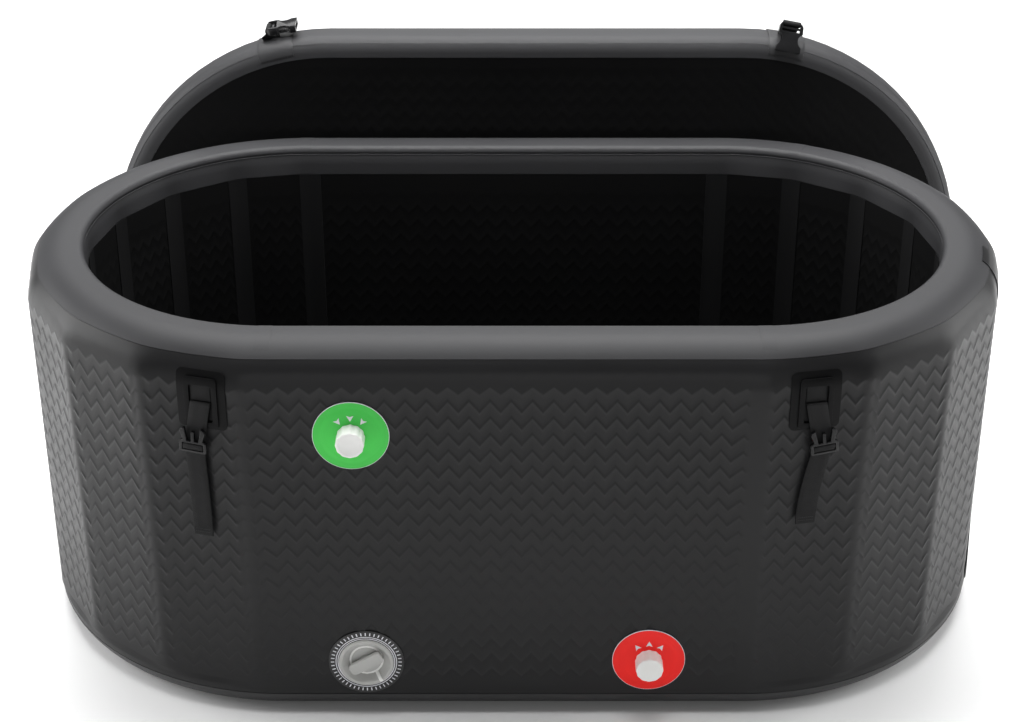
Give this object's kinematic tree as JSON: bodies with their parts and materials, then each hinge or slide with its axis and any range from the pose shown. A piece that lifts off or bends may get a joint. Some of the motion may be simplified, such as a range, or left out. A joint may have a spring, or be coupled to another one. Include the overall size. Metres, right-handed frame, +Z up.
{
  "type": "cold plunge tub",
  "caption": "Oval inflatable cold plunge tub with drop-stitch walls, screw-capped water ports, air valve and buckled straps, its loose padded lid standing behind it.",
  "frame": {"origin": "centre of the tub's base, on the floor", "axes": "+X along the tub's length, to the right as seen from the front; +Y from the front with the ports towards the lid; +Z up"},
  "size_m": [1.526, 0.9209, 0.8113],
  "materials": {
    "drop_stitch": "matte threads",
    "wall_pvc": "satin, embossed zig-zag",
    "tape_pvc": "smooth satin",
    "inner_pvc": "satin",
    "port_green": "satin",
    "port_red": "satin",
    "white_plastic": "gloss",
    "valve_grey": "satin",
    "seal_rubber": "matte",
    "spring_steel": "drawn wire",
    "webbing": "woven",
    "buckle_plastic": "fine grain"
  },
  "bodies": {
    "tub": {"drop_stitch_core": "drop_stitch", "outer_wall_skin": "wall_pvc", "inner_wall_skin": "inner_pvc", "rim_tape": "tape_pvc", "base_tape": "tape_pvc", "floor_sheet": "inner_pvc", "closing_seam_strip": "tape_pvc", "inlet_patch": "port_green", "inlet_spigot": "white_plastic", "inlet_inner_gasket": "seal_rubber", "inlet_inner_nut": "white_plastic", "outlet_patch": "port_red", "outlet_spigot": "white_plastic", "outlet_inner_gasket": "seal_rubber", "outlet_inner_nut": "white_plastic", "valve_label_ring": "wall_pvc", "valve_gasket": "seal_rubber", "valve_nut": "valve_grey", "valve_body": "valve_grey", "valve_cap_tether": "valve_grey", "valve_spring": "spring_steel", "left_strap_base_patch": "wall_pvc", "left_strap_loop_patch": "wall_pvc", "left_strap_anchor": "webbing", "right_strap_base_patch": "wall_pvc", "right_strap_loop_patch": "wall_pvc", "right_strap_anchor": "webbing"},
    "inlet_cap_carrier": {"inlet_cap_seal": "seal_rubber"},
    "inlet_cap_turning": {"inlet_cap": "white_plastic"},
    "outlet_cap_carrier": {"outlet_cap_seal": "seal_rubber"},
    "outlet_cap_turning": {"outlet_cap": "white_plastic"},
    "valve_cap_carrier": {"valve_cap_seal": "seal_rubber"},
    "valve_cap_turning": {"valve_cap": "valve_grey"},
    "valve_stem": {"valve_plunger": "valve_grey"},
    "left_strap": {"left_strap_webbing": "webbing", "left_male_buckle": "buckle_plastic"},
    "right_strap": {"right_strap_webbing": "webbing", "right_male_buckle": "buckle_plastic"},
    "lid": {"lid_drop_stitch_core": "drop_stitch", "lid_edge_tape": "tape_pvc", "lid_underside_skin": "inner_pvc", "lid_outer_skin": "wall_pvc", "lid_left_strap_patch": "tape_pvc", "lid_right_strap_patch": "tape_pvc", "lid_valve_body": "valve_grey", "lid_valve_cap_tether": "valve_grey", "lid_valve_spring": "spring_steel"},
    "lid_left_buckle": {"lid_left_strap_webbing": "webbing", "lid_left_female_buckle": "buckle_plastic"},
    "lid_right_buckle": {"lid_right_strap_webbing": "webbing", "lid_right_female_buckle": "buckle_plastic"},
    "lid_valve_cap_carrier": {"lid_valve_cap_seal": "seal_rubber"},
    "lid_valve_cap_turning": {"lid_valve_cap": "valve_grey"},
    "lid_valve_stem": {"lid_valve_plunger": "valve_grey"}
  },
  "joints": [
    {"name": "lid_lift", "type": "slide", "parent": "tub", "child": "lid", "axis": [0, 0, 1], "range_m": [0, 0.45]},
    {"name": "inlet_cap_travel", "type": "slide", "parent": "tub", "child": "inlet_cap_carrier", "axis": [0, -1, 0], "range_m": [0, 0.00929]},
    {"name": "inlet_cap_turn", "type": "hinge", "parent": "inlet_cap_carrier", "child": "inlet_cap_turning", "pos_m": [-0.229, -0.405, 0.495], "axis": [0, -1, 0], "range_deg": [0, 1440]},
    {"name": "outlet_cap_travel", "type": "slide", "parent": "tub", "child": "outlet_cap_carrier", "axis": [0, -1, 0], "range_m": [0, 0.00929]},
    {"name": "outlet_cap_turn", "type": "hinge", "parent": "outlet_cap_carrier", "child": "outlet_cap_turning", "pos_m": [0.202, -0.405, 0.105], "axis": [0, -1, 0], "range_deg": [0, 1440]},
    {"name": "valve_cap_travel", "type": "slide", "parent": "tub", "child": "valve_cap_carrier", "axis": [0, -1, 0], "range_m": [0, 0.00405]},
    {"name": "valve_cap_turn", "type": "hinge", "parent": "valve_cap_carrier", "child": "valve_cap_turning", "pos_m": [-0.22, -0.405, 0.101], "axis": [0, -1, 0], "range_deg": [0, 90]},
    {"name": "valve_plunger_push", "type": "slide", "parent": "tub", "child": "valve_stem", "axis": [0, 1, 0], "range_m": [0, 0.005], "stiffness_N_per_m": 400, "springref_m": -0.004, "deforming": ["valve_spring"]},
    {"name": "left_strap_swing", "type": "hinge", "parent": "tub", "child": "left_strap", "pos_m": [-0.43869, -0.39504, 0.541], "axis": [-0.9365, 0.269, 0.225], "range_deg": [0, 110]},
    {"name": "right_strap_swing", "type": "hinge", "parent": "tub", "child": "right_strap", "pos_m": [0.42406, -0.39745, 0.541], "axis": [-0.9556, -0.1901, -0.225], "range_deg": [0, 110]},
    {"name": "lid_left_buckle_swing", "type": "hinge", "parent": "lid", "child": "lid_left_buckle", "pos_m": [-0.4097, 0.443, 0.77331], "axis": [0.9708, 0, 0.24], "range_deg": [-25, 25]},
    {"name": "lid_right_buckle_swing", "type": "hinge", "parent": "lid", "child": "lid_right_buckle", "pos_m": [0.46226, 0.443, 0.77939], "axis": [-0.9808, 0, 0.1951], "range_deg": [0, 100]},
    {"name": "lid_valve_cap_travel", "type": "slide", "parent": "lid", "child": "lid_valve_cap_carrier", "axis": [0, 1, 0], "range_m": [0, 0.00405]},
    {"name": "lid_valve_cap_turn", "type": "hinge", "parent": "lid_valve_cap_carrier", "child": "lid_valve_cap_turning", "pos_m": [0.038, 0.4805, 0.14], "axis": [0, 1, 0], "range_deg": [0, 90]},
    {"name": "lid_valve_plunger_push", "type": "slide", "parent": "lid", "child": "lid_valve_stem", "axis": [0, -1, 0], "range_m": [0, 0.005], "stiffness_N_per_m": 400, "springref_m": -0.004, "deforming": ["lid_valve_spring"]}
  ],
  "couplings": [
    {"joint": "inlet_cap_travel", "follows": "inlet_cap_turn", "m_per_rad": 0.00036749},
    {"joint": "outlet_cap_travel", "follows": "outlet_cap_turn", "m_per_rad": 0.00036749},
    {"joint": "valve_cap_travel", "follows": "valve_cap_turn", "m_per_rad": 0.0025465},
    {"joint": "lid_valve_cap_travel", "follows": "lid_valve_cap_turn", "m_per_rad": 0.0025465}
  ]
}
